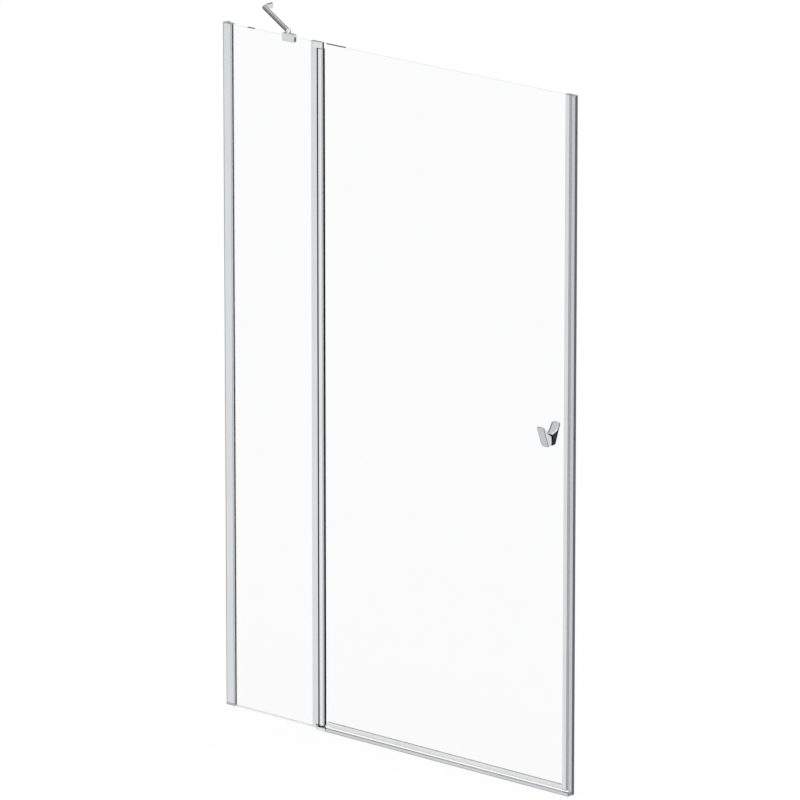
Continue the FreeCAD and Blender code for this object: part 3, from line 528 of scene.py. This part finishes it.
def makeWallTab():  # two halves of a plate about its screw hole, drawn out to its thickness
    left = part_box("stay_bar")[0].x
    start, end = wallTab["start"], wallTab["end"]
    holeY, holeZ, holeR = end - wallTab["holeFromEnd"], wallTab["middle"], wallTab["holeR"]
    r, half, steps = wallTab["cornerR"], wallTab["half"], wallTab["arcSteps"]
    upper = [(end, holeZ)] + arc(end - r, holeZ + half - r, r, 0, 90, steps)
    upper += arc(start + r, holeZ + half - r, r, 90, 180, steps) + [(start, holeZ)]
    upper += arc(holeY, holeZ, holeR, 180, 0, 2 * steps)
    lower = [(y, 2 * holeZ - z) for y, z in reversed(upper)]
    section = sectionMesh("wallTabSection", [
        [(left, y, z) for y, z in side] for side in (upper, lower)])
    # painted light: the tab gets the pale finish, so it reads light
    plate = growMesh("stayBarTab", section, "drawn", {
        "Run": (wallTab["thick"], 0, 0), "Sharp Edge": math.radians(sharpEdge),
        "Finish": materials["paleMetalPaintedLight"]})
    shadeTopStrip(plate, wallTab["middle"] + wallTab["half"] - wallTab["topStrip"])
    easeEdges(addPiece("stayBarTab", plate, "stay_bar"),
              wallTab["easedEdge"], wallTab["sharpEdge"])


makeStayBar()
makeWallTab()
print("stay bar made")

rows = {  # small parts that a node holds several of
    "adjusting_screws": dict(name="adjustingScrews", count=3, way=up),
    "screw_covers": dict(name="screwCovers", count=3, way=up),
    "block_screws": dict(name="blockScrews", count=2, way=up),
    "clamp_grub_screws": dict(name="grubScrews", count=2, way=right),
}
rowEase = 0.1 * mm


def makeRow(node, name, count, way):  # one solid of the node, repeated from end to end
    low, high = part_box(node)
    bm = mergedCopy(node)
    start = min(vert.co.dot(way) for vert in bm.verts)
    reach = (high - low).dot(way)
    halfStep = 0.5 * reach / (count - 1)
    keep = {v for v in bm.verts if v.co.dot(way) - start < halfStep}
    bmesh.ops.delete(bm, geom=[v for v in bm.verts if v not in keep], context="VERTS")
    size = max(v.co.dot(way) for v in bm.verts) - start
    shadeByAngle(bm)
    mesh = bpy.data.meshes.new(name)
    bm.to_mesh(mesh)
    bm.free()
    row = growMesh(name, mesh, "row", {
        "Count": count, "Step": way * (reach - size) / (count - 1), "Finish": finishFor(node)})
    easeEdges(addPiece(name, row, node), rowEase)


for node, row in rows.items():
    makeRow(node, row["name"], row["count"], row["way"])
print("rows of screws made:", len(rows))

roughly, squarely = 0.5, 0.9  # how straight along a way a face looks, where 1 is exactly


def facing(way, least):
    return lambda middle, normal: normal.dot(way) > least


pane = dict(arris=0.3 * mm, half=2.0 * mm, clear=0.04 * mm)
for node, name in (("fixed_glass", "fixedPane"), ("door_glass", "doorPane")):
    dressedCopy(node, name, pane["arris"], [("groundEdge", facing(up, roughly))])
print("panes made")

profile = dict(ease=0.25 * mm, railEase=0.2 * mm)
sideGroove = dict(fromWall=2.4 * mm, width=1.2 * mm, depth=0.7 * mm)
railGroove = dict(low=1.5 * mm, width=0.9 * mm, depth=0.6 * mm)
pivotBlock = dict(ease=0.2 * mm, paintedShadeFrom=-0.45)  # painted shade: the black on the block's side that faces right goes round to this way
bottomSeal = dict(innerLip=1.5 * mm)


def inSideGroove(middle, way):
    low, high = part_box("wall_channel_left")
    across = middle.x - low.x - sideGroove["fromWall"]
    return (-touch < across < sideGroove["width"] + touch
            and high.y - sideGroove["depth"] - touch < abs(middle.y) < high.y - touch)


def inRailGroove(middle, way):
    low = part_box("threshold_rail")[0]
    height = middle.z - low.z - railGroove["low"]
    return (-touch < height < railGroove["width"] + touch
            and touch < middle.y - low.y < railGroove["depth"] + touch)


def onPaintedShadeSide(middle, way):
    return way.x > roughly and way.y > pivotBlock["paintedShadeFrom"]


def onInnerLip(middle, way):  # the side that the glass is in front of
    return way.y < -squarely and middle.y > bottomSeal["innerLip"]


def besidePane(place):  # the seal's lips stand just off the glass
    if abs(abs(place.y) - pane["half"]) < touch:
        place.y += math.copysign(pane["clear"], place.y)


def underPane(place):  # so does the top of the sill strip
    if place.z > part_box("sill_strip")[1].z - touch:
        place.z -= pane["clear"]


# painted shade in the grooves of the left channel and of the threshold rail
dressedCopy("wall_channel_left", "leftChannel", profile["ease"],
            [("grooveShade", inSideGroove)])
dressedCopy("threshold_rail", "thresholdRail", profile["railEase"],
            [("grooveShade", inRailGroove)])
# painted shade: the sides of these profiles that face right are made dark
for node, name in (("wall_channel_right", "rightChannel"), ("hinge_post", "hingePost"),
                   ("glazing_profile_left", "leftGlazingProfile")):
    dressedCopy(node, name, profile["ease"], [("shadedSide", facing(right, roughly))])
# painted light: the clamp's ends that face right get the pale finish, so they read light
dressedCopy("clamp_body", "stayBarClamp", profile["ease"],
            [("paleMetalPaintedLight", facing(right, squarely))])
# painted reflection: the sill strip's top, under the glass's edge, and the seal's lip behind the
# glass get a metal finish, for the light that runs along the glass
dressedCopy("door_bottom_seal", "leafBottomSeal",
            accents=[("satinMetal", onInnerLip)], nudge=besidePane)
dressedCopy("sill_strip", "sillStrip",
            accents=[("satinMetal", facing(up, squarely))], nudge=underPane)
# painted shade: black plastic on the block's side that faces right
dressedCopy("top_pivot_block", "topPivotBlock", pivotBlock["ease"],
            [("blackPlastic", onPaintedShadeSide)])

easedNodes = {  # node: piece name, eased edge in mm
    "closing_profile": ("closingProfile", 0.25),
    "top_cap_left": ("leftTopCap", 0.2), "bottom_cap_left": ("leftFoot", 0.2),
    "post_top_cap": ("postCap", 0.1), "top_cap_right": ("rightTopCap", 0.2),
    "bottom_cap_right": ("rightFoot", 0.2), "closing_caps": ("closingCaps", 0.2),
    "rail_end_cap": ("railEndCap", 0.2),
    "bottom_pivot_block": ("bottomPivotBlock", 0.25),
    "bottom_bush": ("lowerBush", 0.1), "top_bush": ("upperBush", 0.1),
    "pivot_washers": ("pivotWashers", 0.1), "handle_pad_outer": ("outerGripPad", 0.1),
    "handle_pad_inner": ("innerGripPad", 0.1), "glass_top_strip": ("leafTopStrip", 0.2),
    "fixed_glass_strip": ("fixedTopStrip", 0.2), "post_wiper": ("postWiper", 0.1),
    "magnet_seal": ("closingSeal", 0.15), "strike_seal": ("strikeSeal", 0.15),
}
for node, (name, ease) in easedNodes.items():
    dressedCopy(node, name, ease * mm)
print("profiles, caps and seals made")

# The flared grip: height 58, its face leans out by 21.8, and a lip stands above the bend.
# The wedge is the slanting line on its inner back: a painted highlight band runs just left of it,
# and painted black reflection lies right of it and along the foot. The last three say how straight
# a face has to look one way to be the back, which gets painted shade, or the rounded rim, which
# gets a painted dark edge.
grip = dict(low=943.5 * mm, high=1001.5 * mm, footOut=13.5 * mm, lean=21.8 / 58.0, rim=4.2 * mm,
            bendOut=17.5 * mm, bendUp=980.5 * mm, footSlope=(0.556, 0.831), footTop=970.0 * mm,
            strip=4.0 * mm, border=1.8 * mm, ease=0.1 * mm,
            wedgeStart=(518.0 * mm, 3.3 * mm, 971.0 * mm), wedgeWay=(0.935, -0.296, -0.198),
            band=4.2 * mm, footLine=2.4 * mm, backFrom=0.7, rimFrom=0.3, rimTo=0.97)


def makeGrip(node, name, side):  # side -1 is outside the shower, 1 inside
    low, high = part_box(node)
    face = Vector((0, side, -grip["lean"])).normalized()
    rimPlace = Vector((0, side * grip["footOut"], grip["low"])) - face * grip["rim"]
    lipPlace = Vector((0, side * grip["bendOut"], grip["bendUp"]))
    slopeY, slopeZ = grip["footSlope"]
    lipWay = Vector((0, -slopeY * side, slopeZ))  # across the line where the lip leaves the foot
    stripX = low.x + grip["strip"]
    leftX, rightX = low.x + grip["border"], high.x - grip["border"]
    lowZ, highZ = grip["low"] + grip["border"], grip["high"] - grip["border"]
    wedge, wedgeWay = Vector(grip["wedgeStart"]), Vector(grip["wedgeWay"])
    footLine = wedge.z + grip["footLine"]
    cuts = [(rimPlace, face), (lipPlace, lipWay)]
    cuts += [(right * x, right) for x in (stripX, leftX, rightX)]
    cuts += [(up * z, up) for z in (lowZ, highZ, footLine)]
    if side > 0:
        cuts += [(wedge, wedgeWay), (wedge - wedgeWay * grip["band"], wedgeWay)]

    def past(middle):  # how far to the right of the slanting line
        return (middle - wedge).dot(wedgeWay)

    def looksBack(middle, way):
        return way.dot(-face) > grip["backFrom"] and middle.z > grip["footTop"]

    def onBack(middle, way):
        return side > 0 and looksBack(middle, way)

    def onPaintedHighlight(middle, way):
        return onBack(middle, way) and -grip["band"] < past(middle) < 0

    def onPaintedDarkReflection(middle, way):
        return onBack(middle, way) and middle.z < grip["bendUp"] and (
            past(middle) > 0 or middle.z < footLine)

    def onPaintedLitSide(middle, way):
        behindRim = (middle - rimPlace).dot(face) < 0
        onLip = (middle - lipPlace).dot(lipWay) > 0
        return way.x > squarely and behindRim and (onLip or side < 0)

    def onPaintedShadeEdge(middle, way):
        roundedRim = grip["rimFrom"] < way.dot(face) < grip["rimTo"]
        withinBorder = leftX < middle.x < rightX and lowZ < middle.z < highZ
        outline = way.dot(face) > squarely and not withinBorder
        innerStrip = middle.x < stripX and looksBack(middle, way)
        return roundedRim or outline or innerStrip

    def onPaintedDarkSide(middle, way):
        return way.x > squarely and side > 0 and not onPaintedLitSide(middle, way)

    # painted light and shade on the grips: a darker back, a highlight band, a dark rim and outline,
    # black reflection on the inner back and on sides that face right, and a pale side by the lip
    dressedCopy(node, name, grip["ease"], [
        ("gripBackPaintedShade", onBack), ("paintedHighlightBand", onPaintedHighlight), ("gripRimPaintedShade", onPaintedShadeEdge),
        ("blackPlastic", onPaintedDarkReflection), ("paleMetalPaintedLight", onPaintedLitSide), ("blackPlastic", onPaintedDarkSide)], cuts)


makeGrip("handle_outer", "outerGrip", -1)
makeGrip("handle_inner", "innerGrip", 1)
print("handle made")

for node, piece in nodes.items():
    if node not in replaced:
        piece.data.materials.clear()
        piece.data.materials.append(finishFor(node))
print("nodes given only a finish:", len(nodes) - len(replaced))

studio = dict(
    soft=0.92,         # what matt surfaces are lit by
    ceiling=0.97,      # reflections from straight above
    ground=0.70,       # reflections from well below
    ringHeights=(-0.28, 0.34),   # how high the two rings of the studio wall are, as a direction's z
    ceilingFrom=(0.45, 0.79),
    groundFrom=(-0.45, -0.70),
    # brightness of the wall by compass angle: bright in front, dimmer to the right and behind
    lowRing=[(-180, 0.90), (-121, 0.86), (-100, 0.96), (-84, 1.00), (-66, 0.84), (-50, 0.70),
             (-15, 0.53), (-2, 0.38), (10, 0.13), (26, 0.36), (50, 0.42), (80, 0.38), (112, 0.12),
             (130, 0.12), (160, 0.17), (168, 0.24), (176, 0.80), (180, 0.90)],
    highRing=[(-180, 0.78), (-136, 0.52), (-84, 0.80), (-50, 0.62), (0, 0.40), (30, 0.40),
              (75, 0.42), (110, 0.38), (134, 0.46), (146, 0.68), (153, 0.42), (160, 0.28),
              (167, 0.27), (173, 0.55), (180, 0.78)],
)
floor = dict(half=14.0, drop=0.0004, shadowShare=0.12, grey=0.9)


def mathNode(tree, operation, first):
    node = tree.nodes.new("ShaderNodeMath")
    node.operation = operation
    link(tree, first, node.inputs[0])
    return node


def seenRays(tree):  # 1 where the camera looks straight or through glass
    ray = tree.nodes.new("ShaderNodeLightPath")
    seen = mathNode(tree, "MAXIMUM", ray.outputs["Is Camera Ray"])
    link(tree, ray.outputs["Is Transmission Ray"], seen.inputs[1])
    return seen.outputs[0]


def mixShader(tree, share, first, second):
    mix = tree.nodes.new("ShaderNodeMixShader")
    link(tree, share, mix.inputs["Fac"])
    link(tree, first, mix.inputs[1])
    link(tree, second, mix.inputs[2])
    return mix.outputs[0]


def makeFloor():  # white to the camera, apart from the object's faint shadow
    half, height = floor["half"], -floor["drop"]
    mesh = bpy.data.meshes.new("studioFloor")
    mesh.from_pydata([(-half, -half, height), (half, -half, height), (half, half, height),
                      (-half, half, height)], [], [(0, 1, 2, 3)])
    piece = bpy.data.objects.new("studioFloor", mesh)
    scene.collection.objects.link(piece)
    material = bpy.data.materials.new("studioFloor")
    material.use_nodes = True
    tree = material.node_tree
    tree.nodes.clear()
    out = tree.nodes.new("ShaderNodeOutputMaterial")
    matt = tree.nodes.new("ShaderNodeBsdfDiffuse")
    matt.inputs["Color"].default_value = (floor["grey"], floor["grey"], floor["grey"], 1)
    white = tree.nodes.new("ShaderNodeEmission")
    lit = floor["shadowShare"] * floor["grey"] * studio["soft"]
    white.inputs["Strength"].default_value = (1.0 - lit) / (1.0 - floor["shadowShare"])
    share = mathNode(tree, "MULTIPLY", seenRays(tree))
    share.inputs[1].default_value = 1.0 - floor["shadowShare"]
    surface = mixShader(tree, share.outputs[0], matt.outputs[0], white.outputs[0])
    link(tree, surface, out.inputs["Surface"])
    mesh.materials.append(material)
    piece.visible_glossy = False


def ringRamp(tree, compass, stops):
    ramp = tree.nodes.new("ShaderNodeValToRGB")
    while len(ramp.color_ramp.elements) < len(stops):
        ramp.color_ramp.elements.new(0.5)
    for element, (degrees, level) in zip(ramp.color_ramp.elements, stops):
        element.position = (degrees + 180) / 360
        element.color = (level, level, level, 1)
    link(tree, compass, ramp.inputs["Fac"])
    return ramp.outputs["Color"]


def blendByHeight(tree, height, span, low, high):
    share = tree.nodes.new("ShaderNodeMapRange")
    share.inputs["From Min"].default_value = span[0]
    share.inputs["From Max"].default_value = span[1]
    blend = tree.nodes.new("ShaderNodeMix")
    link(tree, height, share.inputs["Value"])
    link(tree, share.outputs["Result"], blend.inputs[0])
    for side, socket in ((low, blend.inputs[2]), (high, blend.inputs[3])):
        if isinstance(side, float):
            socket.default_value = side
        else:
            link(tree, side, socket)
    return blend.outputs[0]


def background(tree, strength=1.0):
    node = tree.nodes.new("ShaderNodeBackground")
    node.inputs["Color"].default_value = (1, 1, 1, 1)
    node.inputs["Strength"].default_value = strength
    return node


def makeWorld():  # white behind the object, an even light on it, and a studio in reflections
    world = bpy.data.worlds.new("studio")
    scene.world = world
    world.use_nodes = True
    tree = world.node_tree
    tree.nodes.clear()
    out = tree.nodes.new("ShaderNodeOutputWorld")
    coords = tree.nodes.new("ShaderNodeTexCoord")
    parts = tree.nodes.new("ShaderNodeSeparateXYZ")
    link(tree, coords.outputs["Generated"], parts.inputs[0])
    angle = mathNode(tree, "ARCTAN2", parts.outputs["Y"])
    link(tree, parts.outputs["X"], angle.inputs[1])
    compass = tree.nodes.new("ShaderNodeMapRange")
    compass.inputs["From Min"].default_value = -math.pi
    compass.inputs["From Max"].default_value = math.pi
    link(tree, angle.outputs[0], compass.inputs["Value"])
    low = ringRamp(tree, compass.outputs["Result"], studio["lowRing"])
    high = ringRamp(tree, compass.outputs["Result"], studio["highRing"])
    height = parts.outputs["Z"]
    walls = blendByHeight(tree, height, studio["ringHeights"], low, high)
    roofed = blendByHeight(tree, height, studio["ceilingFrom"], walls, studio["ceiling"])
    level = blendByHeight(tree, height, studio["groundFrom"], roofed, studio["ground"])
    reflected = background(tree)
    link(tree, level, reflected.inputs["Color"])
    soft = background(tree, studio["soft"])
    ray = tree.nodes.new("ShaderNodeLightPath")
    light = mixShader(tree, ray.outputs["Is Glossy Ray"], soft.outputs[0], reflected.outputs[0])
    whole = mixShader(tree, seenRays(tree), light, background(tree).outputs[0])
    link(tree, whole, out.inputs["Surface"])


camera = dict(place=(15.5047, -18.4916, 8.1284), forward=(-0.6158, 0.7348, -0.2844), lens=429.8,
              sensor=36.0, nearest=0.5, farthest=200.0)


def makeCamera():
    data = bpy.data.cameras.new("camera")
    data.lens = camera["lens"]
    data.sensor_width = camera["sensor"]
    data.clip_start = camera["nearest"]
    data.clip_end = camera["farthest"]
    piece = bpy.data.objects.new("camera", data)
    scene.collection.objects.link(piece)
    piece.location = camera["place"]
    piece.rotation_euler = Vector(camera["forward"]).to_track_quat("-Z", "Y").to_euler()
    scene.camera = piece


makeFloor()
makeWorld()
makeCamera()
print("studio made")
